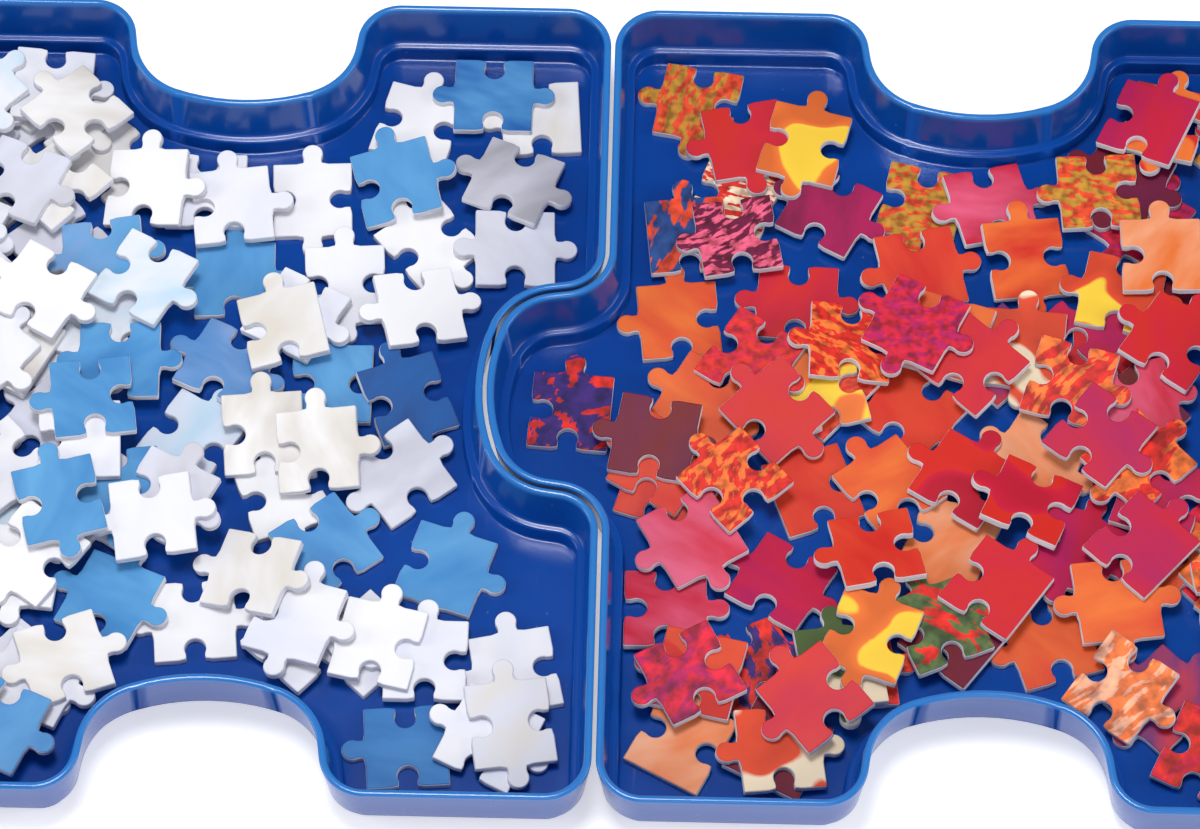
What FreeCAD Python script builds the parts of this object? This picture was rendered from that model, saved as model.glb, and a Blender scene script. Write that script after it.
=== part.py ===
import FreeCAD, Part
import math
import os
from FreeCAD import Vector

# Two linked jigsaw sorting trays with loose jigsaw pieces lying in them.
# Millimetres, +Z up.  The trays stand on z = 0.  +X runs along the pair of trays, from the left tray
# to the right one, and +Y runs to the back.  The origin is under the middle of the whole assembly.

# ---- tray outline, at the joint line that two linked trays share ---------------------------------
PITCH_X = 190.0            # spacing of linked trays, left to right
PITCH_Y = 226.0            # spacing of linked trays, front to back
CORNER_RADIUS = 12.0
LINK_DEPTH = 29.8          # reach of a tab, or depth of a socket
LINK_TIP_RADIUS = 52.2     # shallow arc across the tip
LINK_SHOULDER_RADIUS = 16.5
LINK_SHOULDER_X = 11.5     # shoulder arc's centre, from the link's middle line
LINK_MOUTH_RADIUS = 11.7   # arc that leads into the tray's straight side
LINK_FLANK_ANGLE = 81.7    # degrees between the flank and the tray's side: the link is not undercut
LINK_GAP = 0.8             # clearance between the rims of two linked trays

# ---- tray wall section ----------------------------------------------------------------------------
TRAY_HEIGHT = 20.0
WALL = 1.9
FLOOR = 2.0
WALL_DRAFT = 6.2           # degrees from upright, above the step
STEP_HEIGHT = 6.8          # top of the step that runs round the inside
STEP_WIDTH = 2.0
FOOT_DRAFT = 2.0           # degrees from upright, below the step
MEETING = 1e-4             # points nearer than this are one point
ARC_SPAN = 60.0            # widest arc that one face of the wall follows, in degrees

# ---- jigsaw pieces ---------------------------------------------------------------------------------
PIECE_WIDTH = 20.4         # body, without its knobs
PIECE_DEPTH = 21.6
PIECE_THICKNESS = 2.0
KNOB_RADIUS = 2.75
KNOB_CENTRE = 3.1          # head's centre, out from the side
NECK_HALF = 2.5            # half the neck where it leaves the side
KNOB_SWEEP = 125.0         # degrees of the head on each side of its tip
KNOB_STEPS = 4
REST_GAP = 0.04            # each piece lies this far above what carries it
WALL_CLEARANCE = 0.6       # least space between a piece and the foot of a wall
NUDGE = 0.25               # step in which a piece moves away from a wall
FLOOR_STEPS = 8            # points along each arc of the floor's edge

# ---- loose pieces: name, middle, turn and the sides in the order east, north, west, south ----------
# k is a knob, s a socket and f a straight border side.  Pieces that lie lower come first.
# x is measured from the joint between the trays and y from the trays' middle.
LEFT_PIECES = [
    ("white_piece_1", -50.5, 86.0, -15.0, "sksk"),
    ("white_piece_2", -18.5, 88.5, 4.0, "fsks"),
    ("white_piece_3", -46.0, 50.5, 40.0, "sksk"),
    ("white_piece_4", -20.0, -71.0, 12.0, "skks"),
    ("white_piece_5", -77.0, 65.0, 3.0, "sksk"),
    ("white_piece_6", -67.0, 37.0, 4.0, "sksk"),
    ("white_piece_7", -100.0, -59.0, 6.0, "ksks"),
    ("white_piece_8", -80.0, -23.0, 20.0, "sksk"),
    ("white_piece_9", -104.0, -8.0, -32.0, "sksk"),
    ("pale_grey_piece_1", -24.0, 48.5, 2.0, "ksks"),
    ("pale_grey_piece_2", -25.0, 67.5, -20.0, "ksks"),
    ("sky_blue_piece_1", -31.0, 94.0, 0.0, "ksks"),
    ("sky_blue_piece_2", -55.0, 66.5, 14.0, "kkss"),
    ("sky_blue_piece_3", -95.5, 38.5, 2.0, "kkks"),
    ("sky_blue_piece_4", -68.5, -38.0, 38.0, "ksks"),
    ("sky_blue_piece_5", -46.0, -92.0, 5.0, "ksks"),
    ("sky_blue_piece_6", -69.0, 8.0, 0.0, "sksk"),
    ("sky_blue_piece_7", -96.0, 13.0, -24.0, "ksks"),
    ("sky_blue_piece_8", -45.5, 2.0, 22.0, "sksk"),
    ("sky_blue_piece_9", -38.5, -43.0, -18.0, "kksk"),
    ("sky_blue_piece_10", -121.0, -54.0, -24.0, "kkks"),
]
RIGHT_PIECES = [
    ("speckled_piece_1", -8.5, 2.0, -4.0, "fkss"),
    ("speckled_piece_2", 80.5, 65.0, -12.0, "kssk"),
    ("speckled_piece_3", 38.5, -68.0, 24.0, "ksks"),
    ("speckled_piece_4", 17.0, 96.0, -10.0, "sskk"),
    ("speckled_piece_5", 32.0, 65.0, -20.0, "sksk"),
    ("orange_piece_1", 18.5, 29.0, 6.0, "skks"),
    ("orange_piece_2", 87.0, -33.0, -22.0, "fksk"),
    ("orange_piece_3", 21.0, -89.0, -28.0, "sksf"),
    ("orange_piece_4", 25.0, 5.0, -30.0, "kskk"),
    ("orange_piece_5", 109.0, -9.0, -30.0, "ksks"),
    ("orange_piece_6", 112.0, -60.0, 18.0, "ksks"),
    ("magenta_piece_1", 56.5, 61.5, -28.0, "ksks"),
    ("magenta_piece_2", 45.0, -45.5, -30.0, "ksks"),
    ("magenta_piece_3", 118.0, -35.0, -24.0, "kksk"),
    ("red_piece_1", 48.5, 35.0, -3.0, "ksks"),
    ("red_piece_2", 53.0, -19.0, 20.0, "skfs"),
    ("red_piece_3", 80.0, 44.5, 14.0, "kskk"),
    ("red_piece_4", 35.0, 82.0, 12.0, "kskk"),
    ("red_piece_5", 99.0, 66.0, 16.0, "ksks"),
    ("red_piece_6", 107.0, 48.0, 10.0, "sksk"),
    ("red_piece_7", 78.0, 4.0, -40.0, "ksks"),
    ("red_piece_8", 16.5, -53.5, 0.0, "ksss"),
]


def polar(centre, radius, angle):
    """Point (x, y) at an angle in degrees round a centre."""
    turn = math.radians(angle)
    return (centre[0] + radius * math.cos(turn), centre[1] + radius * math.sin(turn))


# ---- tray outline -----------------------------------------------------------------------------------
def link_arcs(kind):
    """Arcs of one link on a side that runs towards -x with the tray below it.

    Each arc is (centre, radius, first angle, last angle, turn).  turn is +1 where the tray's edge
    bulges out, so that the radius shrinks as the outline moves in, and -1 where it is hollow.
    """
    flank = math.radians(LINK_FLANK_ANGLE)
    tip = (0.0, LINK_TIP_RADIUS - LINK_DEPTH)
    reach = LINK_TIP_RADIUS - LINK_SHOULDER_RADIUS
    shoulder = (LINK_SHOULDER_X, tip[1] - math.sqrt(reach ** 2 - LINK_SHOULDER_X ** 2))
    run = LINK_SHOULDER_RADIUS + LINK_MOUTH_RADIUS
    rise = (-LINK_MOUTH_RADIUS - shoulder[1]) * math.cos(flank)
    mouth = (shoulder[0] + (run + rise) / math.sin(flank), -LINK_MOUTH_RADIUS)
    tip_angle = math.degrees(math.atan2(shoulder[1] - tip[1], shoulder[0] - tip[0]))
    flank_angle = LINK_FLANK_ANGLE - 90.0
    arcs = [
        (mouth, LINK_MOUTH_RADIUS, 90.0, 180.0 + flank_angle, 1),
        (shoulder, LINK_SHOULDER_RADIUS, flank_angle, tip_angle, -1),
        (tip, LINK_TIP_RADIUS, tip_angle, -180.0 - tip_angle, -1),
        ((-shoulder[0], shoulder[1]), LINK_SHOULDER_RADIUS, -180.0 - tip_angle, -180.0 - flank_angle, -1),
        ((-mouth[0], mouth[1]), LINK_MOUTH_RADIUS, -flank_angle, 90.0, 1),
    ]
    if kind == "tab":
        arcs = [((c[0], -c[1]), r, -a, -b, -t) for c, r, a, b, t in arcs]
    return arcs


def tray_arcs():
    """All arcs of the tray's edge, counter-clockwise, with a tab on the west side only."""
    arcs = []
    for turn, kind in ((-90, "socket"), (0, "socket"), (90, "tab"), (180, "socket")):
        along, out = (PITCH_X / 2, PITCH_Y / 2) if turn % 180 == 0 else (PITCH_Y / 2, PITCH_X / 2)
        side = [((c[0], c[1] + out), r, a, b, t) for c, r, a, b, t in link_arcs(kind)]
        side.append(((CORNER_RADIUS - along, out - CORNER_RADIUS), CORNER_RADIUS, 90.0, 180.0, 1))
        for centre, radius, first, last, bulge in side:
            spun = polar((0, 0), math.hypot(*centre), math.degrees(math.atan2(centre[1], centre[0])) + turn)
            arcs.append((spun, radius, first + turn, last + turn, bulge))
    return arcs


def stretches(inset):
    """The tray's edge as a run of arcs and straight lines, moved in from the joint line.

    Gives (first point, last point, inward direction, arc centre or None, swept angle) for each.
    An arc wider than ARC_SPAN is given in equal parts.
    """
    runs = []
    arcs = tray_arcs()
    for index, (centre, radius, first, last, turn) in enumerate(arcs):
        size = radius - turn * inset
        parts = math.ceil(abs(last - first) / ARC_SPAN)
        angles = [first + (last - first) * part / parts for part in range(parts + 1)]
        corners = [Vector(*polar(centre, size, angle)) for angle in angles]
        for start, stop in zip(corners, corners[1:]):
            inward = (Vector(*centre) - start).normalize() * turn
            runs.append((start, stop, inward, Vector(*centre), (last - first) / parts))
        centre, radius, first, last, turn = arcs[(index + 1) % len(arcs)]
        following = Vector(*polar(centre, radius - turn * inset, first))
        if (following - stop).Length > MEETING:
            runs.append((stop, following, (Vector(*centre) - following).normalize() * turn, None, 0.0))
    return runs


def run_edge(start, centre, sweep):
    """Arc that starts at a point and turns about the upright line through a centre."""
    axis = Vector(centre.x, centre.y, start.z)
    half, whole = (FreeCAD.Rotation(Vector(0, 0, 1), angle) for angle in (sweep / 2, sweep))
    return Part.Arc(start, axis + half.multVec(start - axis), axis + whole.multVec(start - axis)).toShape()


def tray_outline(inset, z=0.0):
    """Closed wire of the tray's edge, moved in from the joint line by a distance."""
    edges = []
    for start, stop, inward, centre, sweep in stretches(inset):
        if centre is None:
            edges.append(Part.LineSegment(start, stop).toShape())
        else:
            edges.append(run_edge(start, centre, sweep))
    outline = Part.Wire(edges)
    outline.translate(Vector(0, 0, z))
    return outline


# ---- tray ---------------------------------------------------------------------------------------------
def wall_section():
    """Corners of the wall's section as (inset from the rim, height), from the floor inside to the foot."""
    wall_lean, foot_lean = math.tan(math.radians(WALL_DRAFT)), math.tan(math.radians(FOOT_DRAFT))
    step_under = STEP_HEIGHT - WALL
    step_start = WALL + (TRAY_HEIGHT - STEP_HEIGHT) * wall_lean
    step_end = step_start + STEP_WIDTH
    foot_top = step_end - WALL
    return [
        (step_end + (STEP_HEIGHT - FLOOR) * foot_lean, FLOOR),
        (step_end, STEP_HEIGHT),
        (step_start, STEP_HEIGHT),
        (WALL, TRAY_HEIGHT),
        (0.0, TRAY_HEIGHT),
        ((TRAY_HEIGHT - step_under) * wall_lean, step_under),
        (foot_top, step_under),
        (foot_top + step_under * foot_lean, 0.0),
    ]


def tray():
    """Thin-walled tray: the wall's section carried round the outline and closed by the floor.

    Level strips are turned about their arc's centre, and leaning ones are ruled between two arcs.
    """
    section = wall_section()
    faces = []
    for start, stop, inward, centre, sweep in stretches(LINK_GAP / 2):
        corners = [start + inward * inset + Vector(0, 0, height) for inset, height in section]
        for low, high in zip(corners, corners[1:]):
            edge = Part.LineSegment(low, high).toShape()
            if centre is None:
                faces.append(edge.extrude(stop - start))
            elif low.z == high.z:
                faces.append(edge.revolve(centre, Vector(0, 0, 1), sweep))
            else:
                arcs = [run_edge(corner, centre, sweep) for corner in (low, high)]
                faces.append(Part.makeRuledSurface(*arcs))
    for inset, height in (section[0], section[-1]):
        faces.append(Part.Face(tray_outline(LINK_GAP / 2 + inset, height)))
    skin = Part.Compound(faces)
    skin.sewShape()
    return Part.Solid(skin.Shells[0])


# ---- jigsaw pieces ------------------------------------------------------------------------------------
def side_points(length, kind):
    """Points of one side that runs along +x from (0, 0), with a knob towards -y or a socket towards +y."""
    if kind == "f":
        return [(0.0, 0.0)]
    middle, out = length / 2, -1 if kind == "k" else 1
    points = [(0.0, 0.0), (middle - NECK_HALF, 0.0)]
    for step in range(KNOB_STEPS + 1):
        angle = math.radians(KNOB_SWEEP * (2 * step / KNOB_STEPS - 1))
        head = KNOB_CENTRE + KNOB_RADIUS * math.cos(angle)
        points.append((middle + KNOB_RADIUS * math.sin(angle), out * head))
    return points + [(middle + NECK_HALF, 0.0)]


def piece_points(kinds):
    """Outline of a piece round its middle, counter-clockwise, from its sides east, north, west, south."""
    east, north, west, south = kinds
    half = (PIECE_WIDTH / 2, PIECE_DEPTH / 2)
    points = []
    for turn, kind, length in ((0, south, PIECE_WIDTH), (90, east, PIECE_DEPTH),
                               (180, north, PIECE_WIDTH), (270, west, PIECE_DEPTH)):
        out = half[1] if turn % 180 == 0 else half[0]
        for x, y in side_points(length, kind):
            local = (x - length / 2, y - out)
            angle = math.degrees(math.atan2(local[1], local[0])) + turn
            points.append(polar((0, 0), math.hypot(*local), angle))
    return points


def inside(point, loop):
    """True where a point lies inside a closed loop of points in plan."""
    x, y = point
    crossings = 0
    for (ax, ay), (bx, by) in zip(loop, loop[1:] + loop[:1]):
        if (ay > y) != (by > y) and x < ax + (y - ay) * (bx - ax) / (by - ay):
            crossings += 1
    return crossings % 2 == 1


def plane_height(plane, point):
    """Height of a plane (height at its middle, slope in x, slope in y, middle) over a point in plan."""
    height, slope_x, slope_y, middle = plane
    return height + slope_x * (point[0] - middle[0]) + slope_y * (point[1] - middle[1])


def plane_through(three, middle):
    """Plane through three (point, height) supports, or None where the middle isn't between them."""
    (a, ha), (b, hb), (c, hc) = three
    ux, uy, vx, vy = b[0] - a[0], b[1] - a[1], c[0] - a[0], c[1] - a[1]
    area = ux * vy - uy * vx
    if abs(area) < MEETING:
        return None
    px, py = middle[0] - a[0], middle[1] - a[1]
    share_b, share_c = (px * vy - py * vx) / area, (ux * py - uy * px) / area
    if min(share_b, share_c, 1 - share_b - share_c) < -MEETING:
        return None
    slope_x = ((hb - ha) * vy - (hc - ha) * uy) / area
    slope_y = ((hc - ha) * ux - (hb - ha) * vx) / area
    return (ha + share_b * (hb - ha) + share_c * (hc - ha), slope_x, slope_y, middle)


def rest_plane(supports, middle):
    """Lowest plane over the middle that passes under no support: three supports carry the piece."""
    near = supports[:4]
    while True:
        best = None
        for i in range(len(near)):
            for j in range(i):
                for k in range(j):
                    plane = plane_through((near[i], near[j], near[k]), middle)
                    if plane is None or (best and plane[0] >= best[0]):
                        continue
                    if all(plane_height(plane, p) >= h - MEETING for p, h in near):
                        best = plane
        worst = max(supports, key=lambda s: s[1] - plane_height(best, s[0]))
        if worst[1] - plane_height(best, worst[0]) <= MEETING:
            return best
        near.append(worst)


def spread(loop, middle):
    """Outline points farthest from the middle, one in each quarter round it."""
    quarters = {}
    for p in sorted(loop, key=lambda p: -math.dist(p, middle)):
        quarters.setdefault((p[0] > middle[0], p[1] > middle[1]), p)
    return list(quarters.values())


def crossings(loop, other):
    """Points where two closed loops cross in plan."""
    found = []
    for a, b in zip(loop, loop[1:] + loop[:1]):
        for c, d in zip(other, other[1:] + other[:1]):
            ux, uy, vx, vy = b[0] - a[0], b[1] - a[1], d[0] - c[0], d[1] - c[1]
            area = ux * vy - uy * vx
            if abs(area) < MEETING:
                continue
            share = ((c[0] - a[0]) * vy - (c[1] - a[1]) * vx) / area
            other_share = ((c[0] - a[0]) * uy - (c[1] - a[1]) * ux) / area
            if 0 <= share <= 1 and 0 <= other_share <= 1:
                found.append((a[0] + share * ux, a[1] + share * uy))
    return found


def floor_loop(side):
    """Points round the floor of one tray, WALL_CLEARANCE inside the foot of its wall."""
    inset = LINK_GAP / 2 + wall_section()[0][0] + WALL_CLEARANCE
    loop = []
    for centre, radius, first, last, turn in tray_arcs():
        middle = (centre[0] + side * PITCH_X / 2, centre[1])
        for step in range(FLOOR_STEPS + 1):
            angle = first + (last - first) * step / FLOOR_STEPS
            loop.append(polar(middle, radius - turn * inset, angle))
    return loop


def clear_of_walls(loop, middle, floor):
    """Shift that brings a loop inside the floor, in small steps away from the points that lie outside."""
    shift = Vector()
    outside = [Vector(*p) for p in loop if not inside(p, floor)]
    while outside:
        push = Vector(*middle) - sum(outside, Vector()) / len(outside)
        shift += push.normalize() * NUDGE
        outside = [Vector(*p) for p in loop if not inside((p[0] + shift.x, p[1] + shift.y), floor)]
    return (shift.x, shift.y)


def loose_pieces(pieces, side):
    """Settle pieces in turn, each on the floor and on the pieces that were laid before it."""
    laid = []
    solids = []
    floor = floor_loop(side)
    for _, x, y, turn, kinds in pieces:
        loop = [polar((x, y), math.hypot(*p), math.degrees(math.atan2(p[1], p[0])) + turn)
                for p in piece_points(kinds)]
        shift = clear_of_walls(loop, (x, y), floor)
        middle = (x + shift[0], y + shift[1])
        loop = [(p[0] + shift[0], p[1] + shift[1]) for p in loop]
        supports = [(p, FLOOR) for p in spread(loop, middle) + loop]
        for other, top in laid:
            touching = [p for p in loop if inside(p, other)] + [p for p in other if inside(p, loop)]
            supports += [(p, plane_height(top, p)) for p in touching + crossings(loop, other)]
        height, slope_x, slope_y, _ = rest_plane(supports, middle)
        tilt = FreeCAD.Rotation(Vector(0, 0, 1), Vector(-slope_x, -slope_y, 1))
        base = Vector(*middle, height + REST_GAP)
        outline = [base + tilt.multVec(Vector(p[0] - middle[0], p[1] - middle[1], 0)) for p in loop]
        face = Part.Face(Part.makePolygon(outline + outline[:1]))
        solids.append(face.extrude(tilt.multVec(Vector(0, 0, PIECE_THICKNESS))))
        rise = PIECE_THICKNESS * math.sqrt(1 + slope_x ** 2 + slope_y ** 2)
        laid.append((loop, (height + REST_GAP + rise, slope_x, slope_y, middle)))
    return solids


# ---- the assembly ---------------------------------------------------------------------------------------
def save(name, shape):
    """Write one node, placed in the assembly."""
    shape.translate(Vector(LINK_DEPTH / 2, 0, 0))
    shape.exportStep("parts/" + name + ".step")
    print(name, round(shape.Volume), "mm3")


def main():
    """Build every node."""
    os.makedirs("parts", exist_ok=True)
    for side, name in ((-1, "left_tray"), (1, "right_tray")):
        body = tray()
        body.translate(Vector(side * PITCH_X / 2, 0, 0))
        save(name, body)
    for side, pieces in ((-1, LEFT_PIECES), (1, RIGHT_PIECES)):
        for piece, solid in zip(pieces, loose_pieces(pieces, side)):
            save(piece[0], solid)


main()
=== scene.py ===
# %% [markdown]
# # Linked jigsaw sorting trays
# Two shallow trays of glossy blue plastic link like jigsaw pieces and hold loose card pieces.
# The solid model comes first as a fixed frame. Every piece made here keeps to its places and sizes.

# %% Load the frame
import functools
import math

import bpy
import numpy as np
from mathutils import Matrix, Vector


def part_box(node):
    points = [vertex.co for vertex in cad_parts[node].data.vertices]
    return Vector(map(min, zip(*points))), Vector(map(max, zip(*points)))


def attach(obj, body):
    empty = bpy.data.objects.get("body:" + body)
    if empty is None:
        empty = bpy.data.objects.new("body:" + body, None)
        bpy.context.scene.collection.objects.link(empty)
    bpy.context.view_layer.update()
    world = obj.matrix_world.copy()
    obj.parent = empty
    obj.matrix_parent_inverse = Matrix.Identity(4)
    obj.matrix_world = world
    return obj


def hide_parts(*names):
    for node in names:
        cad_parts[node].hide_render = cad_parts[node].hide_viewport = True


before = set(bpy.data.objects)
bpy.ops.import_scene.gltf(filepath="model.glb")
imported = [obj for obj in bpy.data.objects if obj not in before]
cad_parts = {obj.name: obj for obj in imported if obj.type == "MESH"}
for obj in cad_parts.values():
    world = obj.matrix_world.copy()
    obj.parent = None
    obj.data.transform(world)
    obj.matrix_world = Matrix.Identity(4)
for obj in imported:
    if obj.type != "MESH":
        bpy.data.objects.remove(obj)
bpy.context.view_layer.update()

MM = 0.001

# %% [markdown]
# ## Camera
# A long lens looks down at the trays from the front. Its place is given in metres from the same
# origin as the solids, and its turn as three angles: down, sideways and a slight roll.

# %% Camera
CAMERA_PLACE = (0.031598, -0.623777, 1.162909)
CAMERA_DOWN, CAMERA_YAW, CAMERA_ROLL = 1.07609473, 0.02832532, -0.00433142
FOCAL_PIXELS, IMAGE_WIDTH = 5214.12, 1200


def camera_axes(down, yaw, roll):
    """Right, up and forward unit vectors: forward is +Y turned down, then all turn about Z, then roll."""
    forward = np.array([0, math.cos(down), -math.sin(down)])
    right = np.array([1.0, 0, 0])
    up = np.cross(right, forward)
    turn = np.array([[math.cos(yaw), -math.sin(yaw), 0], [math.sin(yaw), math.cos(yaw), 0], [0, 0, 1]])
    forward, right, up = turn @ forward, turn @ right, turn @ up
    return (math.cos(roll) * right + math.sin(roll) * up,
            math.cos(roll) * up - math.sin(roll) * right, forward)


right, up, forward = camera_axes(CAMERA_DOWN, CAMERA_YAW, CAMERA_ROLL)
lens = bpy.data.cameras.new("camera")
lens.sensor_width = 36.0
lens.lens = FOCAL_PIXELS / IMAGE_WIDTH * lens.sensor_width
lens.clip_start, lens.clip_end = 0.05, 20.0
camera = bpy.data.objects.new("camera", lens)
axes = np.array([right, up, -forward]).T
camera.matrix_world = Matrix([(*row, place) for row, place in zip(axes, CAMERA_PLACE)] + [(0, 0, 0, 1)])
bpy.context.scene.collection.objects.link(camera)
bpy.context.scene.camera = camera
bpy.context.scene.view_settings.view_transform = "Standard"
print("lens", round(lens.lens, 1), "mm")

# %% [markdown]
# ## Values shared with the solids
# The trays' outline and wall and the jigsaw pieces' size are the same numbers as in the solids, in
# millimetres, so a smoother mesh follows its solid.

# %% Shared sizes
PITCH_X, PITCH_Y, CORNER_RADIUS, LINK_DEPTH, LINK_GAP = 190.0, 226.0, 12.0, 29.8, 0.8
LINK_TIP_RADIUS, LINK_SHOULDER_RADIUS, LINK_SHOULDER_X = 52.2, 16.5, 11.5
LINK_MOUTH_RADIUS, LINK_FLANK_ANGLE = 11.7, 81.7
TRAY_HEIGHT, WALL, FLOOR, WALL_DRAFT = 20.0, 1.9, 2.0, 6.2
STEP_HEIGHT, STEP_WIDTH, FOOT_DRAFT = 6.8, 2.0, 2.0
PIECE_WIDTH, PIECE_DEPTH, PIECE_THICKNESS = 20.4, 21.6, 2.0
KNOB_RADIUS, KNOB_CENTRE, NECK_HALF, KNOB_SWEEP, KNOB_STEPS = 2.75, 3.1, 2.5, 125.0, 4
REST_GAP = 0.04
SHIFT_X = LINK_DEPTH / 2        # from the joint between the trays to the frame's origin


# %% Mesh helpers
def add_mesh(name, points, faces, materials, smooth=True):
    """Mesh object at the origin from points in millimetres from the joint between the trays."""
    mesh = bpy.data.meshes.new(name)
    mesh.from_pydata(((np.asarray(points) + [SHIFT_X, 0, 0]) * MM).tolist(), [], faces)
    for material in materials:
        mesh.materials.append(material)
    mesh.polygons.foreach_set("use_smooth", [smooth] * len(mesh.polygons))
    mesh.update()
    piece = bpy.data.objects.new(name, mesh)
    bpy.context.scene.collection.objects.link(piece)
    return piece


def strip_faces(rings, count):
    """Quads between each ring of points and the next, where every ring closes on itself."""
    ring, step = np.meshgrid(np.arange(rings - 1), np.arange(count), indexing="ij")
    here, there = ring * count, (ring + 1) * count
    after = (step + 1) % count
    quads = np.stack([here + step, here + after, there + after, there + step], axis=-1)
    return quads.reshape(-1, 4).tolist()


# %% [markdown]
# ## Node helpers
# Materials are built from nodes. A short helper adds a node, sets its sockets and makes its links,
# so that each finish below reads as a list of what it is made of.

# %% Node helpers
def set_inputs(tree, node, inputs):
    """Give a node's inputs their values, or links from other nodes."""
    for key, value in inputs.items():
        if isinstance(value, bpy.types.NodeSocket):
            tree.links.new(value, node.inputs[key])
        else:
            node.inputs[key].default_value = value


def add_node(tree, kind, inputs=None, **settings):
    """New shader node of a kind, with settings on the node and values or links on its inputs."""
    node = tree.nodes.new("ShaderNode" + kind)
    for key, value in settings.items():
        setattr(node, key, value)
    set_inputs(tree, node, inputs or {})
    return node


def add_math(tree, operation, *values):
    """Result of an operation on two or three values."""
    return add_node(tree, "Math", dict(enumerate(values)), operation=operation).outputs[0]


def add_noise(tree, vector, scale, detail, distortion=0.0):
    """Noise from 0 to 1 over a vector."""
    inputs = {"Vector": vector, "Scale": scale, "Detail": detail, "Distortion": distortion}
    return add_node(tree, "TexNoise", inputs).outputs["Fac"]


def add_share(tree, value, low, high):
    """How far a value is on its way from low to high, as a share from 0 to 1."""
    return add_node(tree, "MapRange", {"Value": value, "From Min": low, "From Max": high}).outputs[0]


def add_bump(tree, height, strength, distance):
    """Normal of a surface that a height makes uneven."""
    inputs = {"Height": height, "Strength": strength, "Distance": distance}
    return add_node(tree, "Bump", inputs).outputs["Normal"]


def add_ramp(tree, factor, stops):
    """Colour ramp over a factor, from (position, colour) stops."""
    node = add_node(tree, "ValToRGB", {"Fac": factor})
    ramp = node.color_ramp
    while len(ramp.elements) < len(stops):
        ramp.elements.new(0.5)
    for element, (position, colour) in zip(ramp.elements, stops):
        element.position = position
        element.color = (*colour, 1)
    return node.outputs["Color"]


def mix_colours(tree, factor, first, second, blend="MIX"):
    """Mix of two colours by a factor."""
    first, second = ((*colour, 1) if isinstance(colour, tuple) else colour for colour in (first, second))
    inputs = {0: factor, 6: first, 7: second}
    return add_node(tree, "Mix", inputs, data_type="RGBA", blend_type=blend).outputs[2]


def new_material(name):
    """Material with an empty node tree, its output and a Principled shader."""
    material = bpy.data.materials.new(name)
    material.use_nodes = True
    tree = material.node_tree
    tree.nodes.clear()
    shader = add_node(tree, "BsdfPrincipled")
    add_node(tree, "OutputMaterial", {"Surface": shader.outputs["BSDF"]})
    return material, tree, shader


def new_group(name, values, outputs):
    """Shader node group with a vector and named values as inputs: its tree, inputs and output node."""
    tree = bpy.data.node_groups.new(name, "ShaderNodeTree")
    tree.interface.new_socket("Vector", in_out="INPUT", socket_type="NodeSocketVector")
    for label, default in values.items():
        socket = tree.interface.new_socket(label, in_out="INPUT", socket_type="NodeSocketFloat")
        socket.default_value = default
    for label in outputs:
        tree.interface.new_socket(label, in_out="OUTPUT", socket_type="NodeSocketFloat")
    return tree, tree.nodes.new("NodeGroupInput").outputs, tree.nodes.new("NodeGroupOutput")


def srgb(red, green, blue):
    """Linear colour from screen values 0 to 255."""
    values = np.array([red, green, blue]) / 255
    return tuple(np.where(values <= 0.04045, values / 12.92, ((values + 0.055) / 1.055) ** 2.4).tolist())


# %% [markdown]
# ## Handling marks
# Both the plastic and the printed card pick up fine dust, faint scratches and uneven gloss from
# handling. One node group makes these marks, and each material sets how strong they are.

# %% Handling marks group
def handling_marks():
    """Group: large noise varies the gloss, stretched fine noise gives scratches, voronoi gives dust."""
    tree, given, group_out = new_group(
        "handling_marks", {"Scale": 1.0, "Roughness": 0.2, "Gloss Variation": 0.05, "Scratches": 0.3},
        ("Roughness", "Height", "Dust"))
    spot = add_node(tree, "VectorMath", {0: given["Vector"], "Scale": given["Scale"]},
                    operation="SCALE").outputs[0]
    cloud = add_noise(tree, spot, 40.0, 4.0)
    lines = add_node(tree, "Mapping", {"Vector": spot, "Rotation": (0, 0, 0.5), "Scale": (1500, 60, 400)})
    hair = add_noise(tree, lines.outputs[0], 1.0, 2.0)
    scratch = add_math(tree, "MULTIPLY", add_share(tree, hair, 0.66, 0.78), given["Scratches"])
    spread = add_math(tree, "SUBTRACT", cloud, 0.5)
    uneven = add_math(tree, "MULTIPLY_ADD", spread, given["Gloss Variation"], given["Roughness"])
    rough = add_math(tree, "MULTIPLY_ADD", scratch, 0.3, uneven)
    cells = add_node(tree, "TexVoronoi", {"Vector": spot, "Scale": 260.0}).outputs
    sparse = add_math(tree, "GREATER_THAN", cells["Color"], 0.80)
    dust = add_math(tree, "MULTIPLY", add_share(tree, cells["Distance"], 0.10, 0.04), sparse)
    set_inputs(tree, group_out, {"Roughness": rough, "Height": cloud, "Dust": dust})
    return tree


MARKS = handling_marks()


def add_marks(tree, vector, scale, roughness, variation, scratches):
    """Outputs of the handling marks group, with a material's own values."""
    inputs = {"Vector": vector, "Scale": scale, "Roughness": roughness, "Gloss Variation": variation,
              "Scratches": scratches}
    return add_node(tree, "Group", inputs, node_tree=MARKS).outputs


# %% [markdown]
# ## Tray plastic
# The trays are moulded in a deep blue, high-gloss plastic. Moulded plastic isn't quite flat, so a
# broad low bump makes its reflections waver, and the marks group adds hairlines and dust.

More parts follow.
